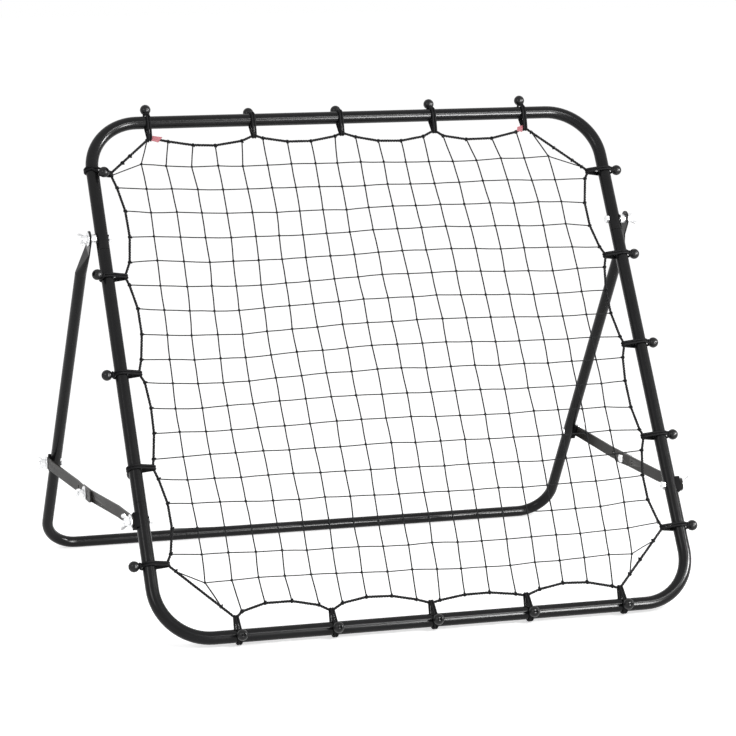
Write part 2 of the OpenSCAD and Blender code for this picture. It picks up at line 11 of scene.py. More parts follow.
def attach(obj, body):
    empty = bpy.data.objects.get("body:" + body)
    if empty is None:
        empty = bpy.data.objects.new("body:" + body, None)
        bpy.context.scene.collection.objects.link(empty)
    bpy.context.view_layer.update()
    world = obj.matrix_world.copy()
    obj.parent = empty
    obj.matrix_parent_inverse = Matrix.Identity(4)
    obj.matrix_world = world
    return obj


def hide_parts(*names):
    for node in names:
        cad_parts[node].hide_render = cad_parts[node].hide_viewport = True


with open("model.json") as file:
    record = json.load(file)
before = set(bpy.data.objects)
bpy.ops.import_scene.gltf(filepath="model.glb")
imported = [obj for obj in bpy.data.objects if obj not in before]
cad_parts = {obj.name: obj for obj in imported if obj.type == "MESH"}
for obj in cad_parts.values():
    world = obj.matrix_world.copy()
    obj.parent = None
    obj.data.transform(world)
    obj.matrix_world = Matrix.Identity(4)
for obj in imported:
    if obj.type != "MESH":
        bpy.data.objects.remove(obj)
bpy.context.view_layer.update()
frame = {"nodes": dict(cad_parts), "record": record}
nodes = frame["nodes"]

# ---------------------------------------------------------------- sizes, in millimetres
MM = 0.001
LEAN = math.radians(32)      # how far the net frame leans back
FRONT_Y, FRONT_Z = -376.901, 15.5  # the axis of its bottom tube
HALF = 468.9                 # from the middle of the net frame to its tube axes
PIVOT = (4.535, 625.925)     # each fastening as its y and z
FRONT_BOLT = (-266.148, 192.742)
REAR_BOLT = (286.619, 186.698)
ELBOW = (17.631, 184.139)

ON_FRONT = Matrix.Translation((0, FRONT_Y, FRONT_Z)) @ Matrix.Rotation(-LEAN, 4, "X")

# ---------------------------------------------------------------- camera
SENSOR = 36                  # width of the camera's sensor
PICTURE_PX = 736             # width of the picture


def place_camera(azimuth, elevation, position, focal_px):
    """A camera that looks along the azimuth and elevation given, in degrees."""
    az, el = math.radians(azimuth), math.radians(elevation)
    back = Vector((math.sin(az) * math.cos(el), -math.cos(az) * math.cos(el), math.sin(el)))
    right = Vector((math.cos(az), math.sin(az), 0))
    data = bpy.data.cameras.new("camera")
    data.sensor_width = SENSOR
    data.lens = SENSOR * focal_px / PICTURE_PX
    data.clip_end = 60
    camera = bpy.data.objects.new("camera", data)
    turned = Matrix((right, back.cross(right), back)).transposed().to_4x4()
    camera.matrix_world = Matrix.Translation(Vector(position) * MM) @ turned
    bpy.context.scene.collection.objects.link(camera)
    bpy.context.scene.camera = camera


place_camera(azimuth=-17.75, elevation=9.56, position=(-1564.67, -4901.57, 1246.2), focal_px=2965.72)


# ---------------------------------------------------------------- materials
def srgb(code):
    """A hex colour as linear numbers."""
    parts = [int(code[k:k + 2], 16) / 255 for k in (1, 3, 5)]
    return [c / 12.92 if c <= 0.04045 else ((c + 0.055) / 1.055) ** 2.4 for c in parts] + [1]


def add(tree, kind, links=None, values=None, stops=(), **settings):
    """Adds a node: its settings, its ramp's two stops, the numbers on its sockets and the links into them."""
    made = tree.nodes.new(kind)
    for name, value in settings.items():
        setattr(made, name, value)
    for k, (place, code) in enumerate(stops):
        made.color_ramp.elements[k].position = place
        made.color_ramp.elements[k].color = srgb(code)
    for socket, value in (values or {}).items():
        made.inputs[socket].default_value = value
    for socket, source in (links or {}).items():
        tree.links.new(source, made.inputs[socket])
    return made


def new_material(name, **surface):
    """A material with its shader's own numbers set; returns it with its node tree and shader."""
    material = bpy.data.materials.new(name)
    material.use_nodes = True
    tree = material.node_tree
    shader = tree.nodes["Principled BSDF"]
    for socket, value in surface.items():
        shader.inputs[socket.replace("_", " ")].default_value = value
    return material, tree, shader


def dress(tree, shader, shade, stops, height, bump, roughness=None):
    """Gives a shader its colours from one pattern, and its relief and any spread of roughness from another.

    The stops are a place and a colour each, and the bump is its strength and its depth in metres.
    """
    colour = add(tree, "ShaderNodeValToRGB", {"Fac": shade}, stops=stops)
    tree.links.new(colour.outputs["Color"], shader.inputs["Base Color"])
    if roughness:
        least, most = roughness
        spread = add(tree, "ShaderNodeMapRange", {"Value": height}, {"To Min": least, "To Max": most})
        tree.links.new(spread.outputs["Result"], shader.inputs["Roughness"])
    strength, depth = bump
    relief = add(tree, "ShaderNodeBump", {"Height": height}, {"Strength": strength, "Distance": depth})
    tree.links.new(relief.outputs["Normal"], shader.inputs["Normal"])


def powder_coat(name, dark, light, roughness, ior):
    """Powder-coated steel: melted powder leaves a faint orange peel, which breaks up reflections a little."""
    material, tree, shader = new_material(name, IOR=ior)
    place = add(tree, "ShaderNodeTexCoord").outputs["Object"]
    # slow changes of shade, 60 mm across
    cloud = add(tree, "ShaderNodeTexNoise", {"Vector": place}, {"Scale": 1 / 0.060, "Detail": 2.0})
    # the peel is 3 mm across here, twice its real width, so that it shows
    peel = add(tree, "ShaderNodeTexNoise", {"Vector": place}, {"Scale": 1 / 0.003, "Detail": 1.0})
    dress(tree, shader, cloud.outputs["Fac"], [(0.3, dark), (0.7, light)], peel.outputs["Fac"],
          (0.06, 0.00003), (roughness - 0.03, roughness + 0.05))
    return material


def zinc_plate():
    """Bright zinc-plated steel: a white metal with a satin sheen that is a little uneven every 4 mm."""
    material, tree, shader = new_material("zinc_plated_steel", Metallic=1.0)
    place = add(tree, "ShaderNodeTexCoord").outputs["Object"]
    grain = add(tree, "ShaderNodeTexNoise", {"Vector": place}, {"Scale": 1 / 0.004, "Detail": 3.0})
    grain = grain.outputs["Fac"]
    dress(tree, shader, grain, [(0.35, "#e6e7e8"), (0.65, "#f4f4f5")], grain, (0.2, 0.00005), (0.22, 0.38))
    return material


def wave(tree, along, length=1.0):
    """A sine wave along a coordinate, with the length of one wave."""
    turns = add(tree, "ShaderNodeMath", {0: along}, {1: math.tau / length}, operation="MULTIPLY")
    return add(tree, "ShaderNodeMath", {0: turns.outputs[0]}, operation="SINE").outputs[0]


def ridges(tree, *waves):
    """The ridges of one wave, or the lattice of bumps where two cross, brought to 0 to 1."""
    height = waves[0]
    for other in waves[1:]:
        height = add(tree, "ShaderNodeMath", {0: height, 1: other}, operation="MULTIPLY").outputs[0]
    made = add(tree, "ShaderNodeMapRange", {"Value": height}, {"From Min": -1.0, "From Max": 1.0})
    return made.outputs["Result"]


def slants(tree, lay, strands, ways):
    """Coordinates that run on the slant round a cord, one for each way; the lay is in metres."""
    place = add(tree, "ShaderNodeUVMap", uv_map="UVMap").outputs["UV"]
    counted = add(tree, "ShaderNodeMapping", {"Vector": place}, {"Scale": (1 / lay, strands, 1)})
    split = add(tree, "ShaderNodeSeparateXYZ", {"Vector": counted.outputs["Vector"]}).outputs
    return [add(tree, "ShaderNodeMath", {0: split["X"], 1: split["Y"]}, operation=way).outputs[0]
            for way in ways]


def stranded(name, dark, light, lay, strands, roughness, depth):
    """Fibre laid in slanting strands along the cord's own length; its colour is darker where the relief
    sinks, a painted shade in the grooves, so light and dark lines wind round it.
    """
    material, tree, shader = new_material(name, Roughness=roughness, IOR=1.2)
    height = ridges(tree, *[wave(tree, slant) for slant in slants(tree, lay, strands, ["ADD"])])
    # the colour follows the relief: painted shade darkens the grooves between strands
    dress(tree, shader, height, [(0.1, dark), (0.8, light)], height, (0.8, depth))
    return material


def braided(name, dark, light, lay, strands, roughness, depth):
    """A woven cover: two sets of yarns cross on the slant, so the surface is a fine lattice of bumps, its
    colour darker where they sink: painted shade between the yarns.
    """
    material, tree, shader = new_material(name, Roughness=roughness, IOR=1.2)
    height = ridges(tree, *[wave(tree, slant) for slant in slants(tree, lay, strands, ["ADD", "SUBTRACT"])])
    # the colour follows the relief: painted shade darkens the hollows between yarns
    dress(tree, shader, height, [(0.2, dark), (0.9, light)], height, (0.7, depth))
    return material


def moulded(name, dark, light, roughness, grain_mm, ior):
    """Injection-moulded plastic: an even colour with a faint skin texture from the mould."""
    material, tree, shader = new_material(name, IOR=ior)
    place = add(tree, "ShaderNodeTexCoord").outputs["Object"]
    grain = add(tree, "ShaderNodeTexNoise", {"Vector": place}, {"Scale": 1000 / grain_mm, "Detail": 2.0})
    grain = grain.outputs["Fac"]
    dress(tree, shader, grain, [(0.3, dark), (0.7, light)], grain, (0.2, 0.00003),
          (roughness - 0.04, roughness + 0.06))
    return material


def woven_tape():
    """Red nylon tape: a plain weave of 0.6 mm threads, whose sunk squares are darker than the raised ones:
    painted shade of over and under.
    """
    material, tree, shader = new_material("red_nylon_tape", Roughness=0.75, IOR=1.45)
    place = add(tree, "ShaderNodeTexCoord").outputs["Object"]
    split = add(tree, "ShaderNodeSeparateXYZ", {"Vector": place}).outputs
    height = ridges(tree, *[wave(tree, split[axis], 0.0012) for axis in ("X", "Z")])
    # the colour follows the weave's relief: painted shade where a thread passes under
    dress(tree, shader, height, [(0.0, "#b65c66"), (1.0, "#cf888f")], height, (0.6, 0.0001))
    return material


tube_coat = powder_coat("black_powder_coat", "#121213", "#1a1a1b", 0.2, 1.26)
# the bars wear the same black coat as the tubes, drawn lighter: a painted sheen for the light that their flat
# faces catch
stay_coat_painted_sheen = powder_coat("black_powder_coat_flat_bar_painted_sheen", "#302e2c", "#3a3836", 0.28, 1.21)
zinc = zinc_plate()

FINISHES = {
    "tube_paint": tube_coat,
    "stay_paint": stay_coat_painted_sheen,
    "zinc_hardware": zinc,
    "net_twine": stranded("twisted_polyethylene_twine", "#121314", "#212224", 0.0025, 1, 0.7, 0.0002),
    "border_rope": stranded("polyethylene_rope_yarn", "#0d0d0e", "#1d1d1f", 0.004, 3, 0.6, 0.0002),
    "elastic_cord": braided("braided_elastic_cord", "#0b0b0c", "#1e1e20", 0.003, 8, 0.65, 0.0002),
    "ball_plastic": moulded("gloss_moulded_nylon", "#101011", "#161617", 0.3, 2.5, 1.34),
    "saddle_plastic": moulded("matt_moulded_nylon", "#0d0d0e", "#131314", 0.7, 1.5, 1.15),
    "marker_tag": woven_tape(),
}


def finish_of(name):
    """The finish of a node's solid: the tubes, the legs and the pivot spacers keep theirs."""
    if "tube" in name or "leg" in name:
        return tube_coat
    return stay_coat_painted_sheen if name.endswith(("stay_left", "stay_right")) else zinc


for name, node in nodes.items():
    node.data.materials.clear()
    node.data.materials.append(finish_of(name))


# ---------------------------------------------------------------- making pieces
def make_piece(name, work, slot, body, replaced=(), place=Matrix(), sharp=40):
    """Turns a bmesh in millimetres into a piece of the object that rides on a body."""
    bmesh.ops.transform(work, matrix=Matrix.Scale(MM, 4) @ place, verts=work.verts)
    if place.determinant() < 0:
        # a mirrored place turns the faces inwards, so they are turned back
        bmesh.ops.reverse_faces(work, faces=work.faces)
    mesh = bpy.data.meshes.new(name)
    work.to_mesh(mesh)
    work.free()
    mesh.materials.append(FINISHES[slot])
    mesh.shade_smooth()
    mesh.set_sharp_from_angle(angle=math.radians(sharp))
    piece = bpy.data.objects.new(name, mesh)
    bpy.context.scene.collection.objects.link(piece)
    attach(piece, body)
    if replaced:
        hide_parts(*replaced)
    return piece


def join_copy(work, part, place):
    """Adds a copy of one bmesh to another, at a place."""
    mesh = bpy.data.meshes.new("copy")
    part.to_mesh(mesh)
    mesh.transform(place)
    if place.determinant() < 0:
        mesh.flip_normals()
    work.from_mesh(mesh)
    bpy.data.meshes.remove(mesh)


def cords(lines, radius, sides, closed=False):
    """A bmesh of round cords along lines of points, each with its length along U and its round along V."""
    curve = bpy.data.curves.new("cords", "CURVE")
    curve.dimensions = "3D"
    curve.bevel_depth = radius
    curve.bevel_resolution = (sides - 4) // 2
    curve.use_fill_caps = not closed
    for line in lines:
        spline = curve.splines.new("POLY")
        spline.points.add(len(line) - 1)
        for point, at in zip(spline.points, line):
            point.co = (*at, 1)
        spline.use_cyclic_u = closed
    made = bpy.data.objects.new("cords", curve)
    bpy.context.scene.collection.objects.link(made)
    bpy.context.view_layer.update()
    mesh = bpy.data.meshes.new_from_object(made.evaluated_get(bpy.context.evaluated_depsgraph_get()))
    work = bmesh.new()
    work.from_mesh(mesh)
    bpy.data.objects.remove(made)
    bpy.data.curves.remove(curve)
    bpy.data.meshes.remove(mesh)
    return work


def smoothed(points, passes, closed=False):
    """Points eased towards the middle of their neighbours."""
    for _ in range(passes):
        count = len(points)
        points = [
            p if not closed and k in (0, count - 1) else (points[k - 1] + 2 * p + points[(k + 1) % count]) / 4
            for k, p in enumerate(points)
        ]
    return points


def spaced(points, step, closed=False):
    """The same line with its points at even steps."""
    if closed:
        points = points + [points[0]]
    lengths = [0]
    for a, b in zip(points, points[1:]):
        lengths.append(lengths[-1] + (b - a).length)
    count = max(2, round(lengths[-1] / step))
    out, k = [], 0
    for n in range(count if closed else count + 1):
        want = lengths[-1] * n / count
        while k < len(points) - 2 and lengths[k + 1] < want:
            k += 1
        share = (want - lengths[k]) / max(lengths[k + 1] - lengths[k], 1e-9)
        out.append(points[k].lerp(points[k + 1], share))
    return out


# ---------------------------------------------------------------- the border rope
PITCH = 169.0                # between bungees
ROPE_REACH = 30.0            # from a tube axis to the rope at a bungee
ROPE_LAY = 14                # one turn of the rope's strands
STRAND_R = 1.28
STRAND_OUT = 1.16            # from the rope's middle to the middle of a strand
BOWS = {  # each bow of the rope: its depth, and how steeply it falls away at its first and second end
    "bottom": ((22.5, 4.5, 2.7), (19.5, 3.6, 1.7), (11, 2, 2.1), (17.5, 2.1, 1.8)),
    "top": ((18, 1.3, 3), (14.7, 2.6, 3), (19.3, 1.9, 3), (20, 4.8, 2.2)),
    "left": ((17.8, 3.2, 1.8), (12, 1.8, 5), (15.3, 2, 2.5), (18.7, 3.2, 2)),
    "right": ((17.5, 3.3, 2), (13, 3.2, 3), (14, 2.5, 2.2), (19.4, 2.6, 3.2)),
}
SLIPS = {  # how far each bungee sits from its even place, to the right or upwards
    "bottom": (1, -5, -1, -1, 0), "top": (-22, -3, -11, -7, -4),
    "left": (0, 0, 0, 9, 34), "right": (2, 2, 8, 12, 10),
}
TURNS = {  # how far each ball has turned round its tube, in degrees from straight outwards
    "bottom": (75.373,) * 5, "top": (0, -33, -33, -10, 0),
    "left": (0, -90, 0, 35, 125), "right": (0, 0, 0, 0, 0),
}


def bungee_places(side):
    """Where the bungees of a side are, from its middle."""
    return [(k - 2) * PITCH + slip for k, slip in enumerate(SLIPS[side])]


def in_net(side, along, inward):
    """A point of the net's plane, across and up, from its place along a side and in from the tube there."""
    return {
        "bottom": Vector((along, inward)), "top": Vector((along, 2 * HALF - inward)),
        "left": Vector((inward - HALF, along + HALF)), "right": Vector((HALF - inward, along + HALF)),
    }[side]


def rope_route():
    """The smooth bows on which the ties lie, as one closed line from the bottom left, anticlockwise."""
    line = []
    for side, backwards in (("bottom", False), ("right", False), ("top", True), ("left", True)):
        places = bungee_places(side)
        points = []
        for a, b, (deep, first, second) in zip(places, places[1:], BOWS[side]):
            for n in range(40):
                t = n / 40
                fall = abs(1 - 2 * t) ** (first if t < 0.5 else second)
                points.append(in_net(side, a + t * (b - a), ROPE_REACH + deep * (1 - fall)))
        points.append(in_net(side, places[-1], ROPE_REACH))
        line += reversed(points) if backwards else points
    return smoothed(spaced(line, 2.0, True), 6, True)


route = rope_route()


def rope_crossing(axis, value, far):
    """Where the route crosses a coordinate: the point, the direction there and its place in the route."""
    hits = []
    for k, (a, b) in enumerate(zip(route, route[1:] + route[:1])):
        if min(a[axis], b[axis]) <= value < max(a[axis], b[axis]):
            share = (value - a[axis]) / (b[axis] - a[axis])
            hits.append((a.lerp(b, share), (b - a).normalized(), k + share))
    return (max if far else min)(hits, key=lambda hit: hit[0][1 - axis])


def on_route(point):
    """The same for a point that is given, at the nearest place of the route."""
    k = min(range(len(route)), key=lambda n: (route[n] - point).length)
    return point, (route[(k + 1) % len(route)] - route[k]).normalized(), k


def lifted(flat, off=0.0):
    """A point of the net's plane in the frame of the leaning net, off being towards its back."""
    return Vector((flat[0], off, flat[1]))


def twisted_rope(ties):
    """Three strands laid round each other, along a line that runs straight from tie to tie."""
    held = [on_route(in_net(side, along, ROPE_REACH)) for side in SLIPS for along in bungee_places(side)]
    stops = [point for point, _, _ in sorted(ties + held, key=lambda tie: tie[2])]
    line = smoothed(spaced(stops, 1.8, True), 4, True)
    count = len(line)
    length = sum((b - a).length for a, b in zip(line, line[1:] + line[:1]))
    turns = round(length / ROPE_LAY)
    strands = []
    for strand in range(3):
        points = []
        for k, p in enumerate(line):
            run = (line[(k + 1) % count] - line[k - 1]).normalized()
            angle = math.tau * (turns * k / count + strand / 3)
            aside = Vector((run.y, -run.x)) * STRAND_OUT * math.cos(angle)
            points.append(lifted(p + aside, STRAND_OUT * math.sin(angle)))
        strands.append(points)
    return cords(strands, STRAND_R, 6, True)


# ---------------------------------------------------------------- the knotted net
MESH_U, MESH_S = 45.06, 44.76    # from knot to knot, across and up
FIRST_U, FIRST_S = -386.0, 94.0  # the lowest knot on the left
STRANDS = 18
UPRIGHT_R, ROW_R = 1.2, 1.0
KNOT_R = 2.1
TWINE_OFF = 0.5              # the uprights pass in front of the rows
LASHING_R = 0.75
LASHING_OUT = 2.9            # from the rope's middle to the middle of the twine lashed round it
LASHING_GAP = 0.9            # from the middle of a lashing to each of its two turns
HITCH_R = 1.7
HITCH_IN, HITCH_FRONT = 3.4, 0.6  # from the rope's middle to a hitch, inwards and towards the front
SCATTER = 1.2                # the most that a knot lies off its place, each way
SAG = 0.5                    # the same for the middle of a twine between two knots
RUN_ON = 0.25                # how much of its last step sideways a twine makes again on its way to the rope
# how far the knots are drawn out of true, in mm, at six by six places: left to right, each line upwards
DRAWN_ACROSS = (
    (6.5, 5, 1.5, 4.5, 8.5, 5.5),
    (7, 6.5, 1.5, 1, 6.5, 4.5),
    (4, 5, 3.5, 0, 0, 1),
    (-2, 1.5, 2, 0.5, -4.5, -9),
    (-4, -1, 0, -0.5, -3.5, -14.5),
    (-7.5, -1.5, -0.5, -0.5, -3, -11.5),
)
DRAWN_UP = (
    (1.5, 4, -4, -4, -1, 4),
    (2, 1, -3, -9, -8.5, -5.5),
    (-2, -1, 1, -2, -7, -5),
    (-7, -2.5, 0, 1, -2.5, -7.5),
    (-6.5, -4, -2.5, -3, -4, -8.5),
    (-3.5, -0.5, -1.5, -4, -6.5, -6.5),
)
rng = random.Random(7)


def between(place):
    """The shares of six even places in a smooth curve through them, at a place from 0 to 1."""
    return [math.prod((5 * place - m) / (k - m) for m in range(6) if m != k) for k in range(6)]


def net_knot(i, j):
    """Where upright i and row j are knotted."""
    across, upwards = between(i / (STRANDS - 1)), between(j / (STRANDS - 1))
    drawn = [sum(a * b * table[k][m] for k, a in enumerate(across) for m, b in enumerate(upwards))
             for table in (DRAWN_ACROSS, DRAWN_UP)]
    return Vector((FIRST_U + MESH_U * i + drawn[0] + rng.uniform(-SCATTER, SCATTER),
                   FIRST_S + MESH_S * j + drawn[1] + rng.uniform(-SCATTER, SCATTER)))


knots = [[net_knot(i, j) for j in range(STRANDS)] for i in range(STRANDS)]
# the outermost twines are drawn to the corner bungees; their ends are given, the others run straight on
UPRIGHT_ENDS = {(0, False): -356, (0, True): -357, (STRANDS - 1, False): 358, (STRANDS - 1, True): 345}
ROW_ENDS = {(0, False): 118, (STRANDS - 1, False): 838, (0, True): 110, (STRANDS - 1, True): 826}
# how far from there each twine is tied, in mm: the uprights to the right, along the bottom and the top, and
# the rows upwards, along the left and the right
TIED_ASIDE = (
    ((-3, 9, 5, 6, 5, 2, 1, 0, -1, -4.5, -1.5, -1.5, 1, 0, -1.5, -2.5, -4.5, 3),
     (-8, 11, 9.5, 1, 6.5, -1, -0.5, -1.5, 4.5, -1.5, -3, -1, -1, -8.5, -10.5, -8.5, -4, 0)),
    ((0, 4, 1, 2.5, 4.5, -1, -0.5, 3, 3.5, 1.5, 3, 4, 3, -2.5, 0, 5, 4, 0),
     (0, 6, 0, 2, 3, -3, -4, 2.5, 1.5, -2, 0, 0, -0.5, -2, -6, -3.5, 0.5, 0)),
)


def twine_line(line, ends, axis, index, off):
    """One twine from rope to rope through its knots: its points and the two places where it is tied."""
    ties = []
    for far in (False, True):
        near = line[-1 if far else 0]
        value = ends.get((index, far), near[axis] + RUN_ON * (near[axis] - line[-2 if far else 1][axis]))
        ties.append(rope_crossing(axis, value + TIED_ASIDE[axis][far][index], far))
    flat = [ties[0][0]] + line + [ties[1][0]]
    points = [lifted(flat[0], off)]
    for a, b in zip(flat, flat[1:]):
        sag = Vector((rng.uniform(-SAG, SAG), rng.uniform(-SAG, SAG)))
        points += [lifted(a.lerp(b, 0.5) + sag, off), lifted(b, off)]
    return points, ties


# extra knots on the rope's straight runs at the corners: the two bungees of a run and the knot's share of it
CORNER_KNOTS = (
    (("top", 0), ("left", 4), 0.5), (("top", 0), ("left", 4), 0.69), (("top", 4), ("right", 4), 0.46),
    (("top", 4), ("right", 4), 0.75), (("right", 0), ("bottom", 4), 0.53),
)


def net_lines():
    """The lines of all twines, and all ties of the net to its rope."""
    uprights, rows, ties = [], [], []
    for i in range(STRANDS):
        points, tied = twine_line(knots[i], UPRIGHT_ENDS, 0, i, -TWINE_OFF)
        uprights.append(points)
        ties += tied
    for j in range(STRANDS):
        points, tied = twine_line([knots[i][j] for i in range(STRANDS)], ROW_ENDS, 1, j, TWINE_OFF)
        rows.append(points)
        ties += tied
    for first, last, share in CORNER_KNOTS:
        a, b = (in_net(side, bungee_places(side)[k], ROPE_REACH) for side, k in (first, last))
        ties.append(on_route(a.lerp(b, share)))
    return uprights, rows, ties


def knot_lump():
    """A knot is a small lump with one turn of twine across it."""
    lump = bmesh.new()
    bmesh.ops.create_icosphere(lump, subdivisions=1, radius=KNOT_R)
    bmesh.ops.scale(lump, vec=(1.1, 0.85, 1.0), verts=lump.verts)
    turn = [Vector((1.9 * math.cos(a), -1.1 * math.sin(a * 2), 1.9 * math.sin(a)))
            for a in (math.tau * k / 8 for k in range(8))]
    band = cords([turn], 0.7, 4, True)
    join_copy(lump, band, Matrix())
    band.free()
    return lump


def add_lashings(net, ties):
    """Each twine is tied to the rope by two turns and a small hitch."""
    turns = []
    for at, run, _ in ties:
        side = Vector((run.y, -run.x))
        for shift in (-LASHING_GAP, LASHING_GAP):
            ring = []
            for k in range(10):
                a = math.tau * k / 10
                flat = at + run * shift + side * LASHING_OUT * math.cos(a)
                ring.append(lifted(flat, LASHING_OUT * math.sin(a)))
            turns.append(ring)
    lashing = cords(turns, LASHING_R, 4, True)
    join_copy(net, lashing, Matrix())
    lashing.free()
    hitch = bmesh.new()
    bmesh.ops.create_icosphere(hitch, subdivisions=1, radius=HITCH_R)
    for at, run, _ in ties:
        inward = (Vector((0, HALF)) - at).normalized()
        join_copy(net, hitch, Matrix.Translation(lifted(at + inward * HITCH_IN, -HITCH_FRONT)))
    hitch.free()


def build_net(uprights, rows, ties):
    """All twines of the net with their knots, each turned its own way, and their lashings."""
    net = cords(uprights, UPRIGHT_R, 6)
    thin = cords(rows, ROW_R, 6)
    join_copy(net, thin, Matrix())
    thin.free()
    lump = knot_lump()
    for row in knots:
        for at in row:
            turned = Matrix.Rotation(rng.uniform(0, math.tau), 4, "Y")
            turned @= Matrix.Rotation(rng.uniform(-0.4, 0.4), 4, "X")
            join_copy(net, lump, Matrix.Translation(lifted(at)) @ turned)
    lump.free()
    add_lashings(net, ties)
    return net


upright_lines, row_lines, rope_ties = net_lines()
make_piece("net_twines", build_net(upright_lines, row_lines, rope_ties), "net_twine", "front_frame", ["net"],
           ON_FRONT, 80)
make_piece("border_rope", twisted_rope(rope_ties), "border_rope", "front_frame", ["net_border_rope"],
           ON_FRONT, 80)

# ---------------------------------------------------------------- ball bungees
CORD_R = 2.0
LOOP_R = 13.3                # from the tube's middle to the middle of the cord round it
ROPE_TURN = 4.5              # from the rope's middle to the middle of the cord round it
PASS_X = 2.1                 # from the loop's middle to each of its two passes
BALL_R = 9.25
BALL_REACH = 24.75           # from the tube's middle to the ball's
CREPT_UP, BALL_LOW = 8, 6    # of the one loop that has crept
BY_BALL, BY_ROPE = 20, 22    # within these distances its cord is still held by its ball and by the rope
LEAVES = math.acos((LOOP_R - ROPE_TURN) / ROPE_REACH)
BELT_END = math.pi - LEAVES  # where the cord leaves the tube, from straight outwards


def belt(angle):
    """How far the cord's centre lies from the tube's axis at an angle from straight outwards."""
    past = max(0.0, abs(angle) - BELT_END)
    return LOOP_R / math.cos(past)


def loop_line(turn):
    """One bungee: from its ball round the tube and the rope to under the ball, and mirrored back to the ball.

    It lies in a frame of x along the tube, y to the front and z outwards.
    """
    turn = math.radians(turn)
    step = math.radians(12)
    # the cord's way out of the ball, and where it crosses under it: x, the angle from the ball and the height
    # over the belt round the tube
    out = [(1.2, 0, 9.5), (1.5, 0, 3.7), (PASS_X, math.radians(15), 0.8), (PASS_X, math.radians(36), 0)]
    under = [(3.3, math.radians(-21), 0.6), (4.4, 0, 1.1), (4.2, math.radians(12), 2.7),
             (2.6, math.radians(20), 3.0), (0, math.radians(23), 3.2)]

    def at(x, angle, over):
        far = belt(angle) + over
        return Vector((x, far * math.sin(angle), far * math.cos(angle)))

    # a ball that is turned far round has no room for all of these on the belt
    line = [at(x, turn + angle, over) for x, angle, over in out
            if turn + angle < BELT_END - 0.1 or angle < 0.3]
    # round the front of the tube
    angle = turn + out[-1][1]
    while angle < BELT_END:
        line.append(at(PASS_X, angle, 0))
        angle += step
    # straight down to the rope, round it and straight back
    leave = Vector((PASS_X, 0, 0)) + Vector((0, math.sin(BELT_END), math.cos(BELT_END))) * LOOP_R
    down = Vector((0, math.cos(BELT_END), -math.sin(BELT_END)))
    run = ROPE_REACH * math.sin(LEAVES)
    first = LOOP_R * math.tan(max(turn, BELT_END) - BELT_END)
    line += [leave + down * (first + (run - first) * k / 6) for k in range(1, 7)]
    for k in range(1, 6):
        a = BELT_END + (math.tau - 2 * BELT_END) * k / 6
        line.append(Vector((PASS_X, ROPE_TURN * math.sin(a), ROPE_TURN * math.cos(a) - ROPE_REACH)))
    line += [Vector((p.x, -p.y, p.z)) for p in (leave + down * run * k / 6 for k in range(6, 0, -1))]
    # round the back of the tube, to 40 degrees short of the ball
    angle = -BELT_END
    while angle < turn - math.radians(40):
        line.append(at(PASS_X, angle, 0))
        angle += step
    line += [at(x, turn + angle, over) for x, angle, over in under]
    line += [Vector((-p.x, p.y, p.z)) for p in reversed(line[:-1])]
    return smoothed(spaced(line, 1.6), 3)


def crept(point, centre):
    """A point of the one loop that has crept up its tube while its ball, at the centre given, hangs low."""
    near = max(0.0, 1 - (point - centre).length / BY_BALL)
    down = BALL_LOW * near - CREPT_UP * min(1.0, max(0.0, (point.z + ROPE_REACH) / BY_ROPE)) * (1 - near)
    return point + Vector((down, 0, 0))


def on_side(side):
    """Turns x along the tube, y to the front and z outwards into the frame of the leaning net."""
    columns = {
        "top": ((1, 0, 0), (0, -1, 0), (0, 0, 1)), "bottom": ((1, 0, 0), (0, -1, 0), (0, 0, -1)),
        "left": ((0, 0, 1), (0, -1, 0), (-1, 0, 0)), "right": ((0, 0, 1), (0, -1, 0), (1, 0, 0)),
    }[side]
    return Matrix(columns).transposed().to_4x4()


def ball_shape():
    """A moulded ball with a bore through it: rounded mouths at both ends and a fine parting line."""
    ball = bmesh.new()
    outline = [(2.6, -3.0), (2.6, -7.6), (3.0, -8.35)]
    outline += [(BALL_R * math.cos(a), BALL_R * math.sin(a)) for a in
                (math.radians(d) for d in (-68, -60, -50, -40, -30, -20, -10))]
    outline += [(BALL_R + 0.06, -0.35), (BALL_R + 0.06, 0.35)]
    outline += [(BALL_R * math.cos(a), BALL_R * math.sin(a)) for a in
                (math.radians(d) for d in (10, 20, 30, 40, 50, 60, 66))]
    outline += [(3.5, 8.2), (3.2, 7.4), (3.2, 5.6), (0.0, 5.6)]
    points = [ball.verts.new((r, 0, z)) for r, z in outline]
    edges = [ball.edges.new(pair) for pair in zip(points, points[1:])]
    bmesh.ops.spin(ball, geom=points + edges, axis=(0, 0, 1), cent=(0, 0, 0), steps=28, angle=math.tau,
                   use_merge=True)
    bmesh.ops.remove_doubles(ball, verts=ball.verts, dist=0.001)
    bmesh.ops.holes_fill(ball, edges=ball.edges, sides=40)
    bmesh.ops.recalc_face_normals(ball, faces=ball.faces)
    return ball


def cord_stopper():
    """The two heat-sealed cord ends that fill the outer mouth of a ball."""
    stopper = bmesh.new()
    for x in (-1.35, 1.35):
        place = Matrix.Translation((x, 0, 6.0)) @ Matrix.Diagonal((0.85, 1.1, 0.8, 1))
        bmesh.ops.create_icosphere(stopper, subdivisions=2, radius=1.75, matrix=place)
    return stopper


def bungee_frame(side, along):
    """Where a bungee's own frame lies in the frame of the leaning net."""
    place = Matrix.Translation(lifted(in_net(side, along, 0))) @ on_side(side)
    if place.to_3x3().determinant() < 0:
        place = place @ Matrix.Diagonal((-1, 1, 1, 1))
    return place


